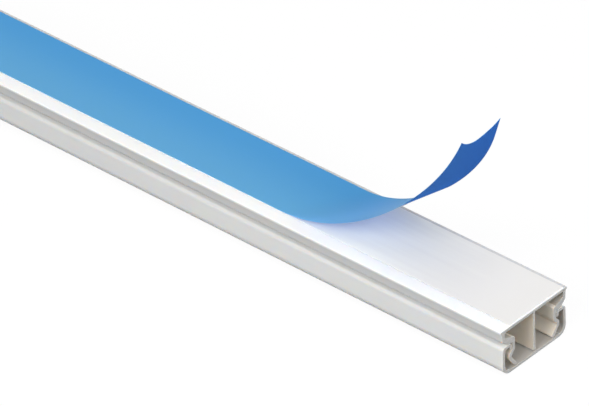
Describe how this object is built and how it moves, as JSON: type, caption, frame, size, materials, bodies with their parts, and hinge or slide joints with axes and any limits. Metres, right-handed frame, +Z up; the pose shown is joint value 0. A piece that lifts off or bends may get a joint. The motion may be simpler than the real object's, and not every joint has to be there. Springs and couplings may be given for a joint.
{
  "type": "cord cover raceway",
  "caption": "Straight white plastic cord cover raceway: sprung cover, divided cable base and an adhesive back whose blue release liner is partly peeled and curling up.",
  "frame": {"origin": "middle of the cover's flat outer face, which lies on the floor", "axes": "+X along the raceway towards the end where the liner is peeled, +Y across it, +Z up from the cover's face to the adhesive back"},
  "size_m": [0.4, 0.0369, 0.0719],
  "materials": {
    "base_plastic": "satin white extruded PVC",
    "cover_plastic": "satin white extruded PVC",
    "tape": "tacky off-white foam tape",
    "liner_film": "glossy blue release film"
  },
  "bodies": {
    "root": {"base_channel": "base_plastic", "snap_cover": "cover_plastic", "adhesive_tape": "tape", "release_liner": "liner_film"}
  },
  "joints": []
}
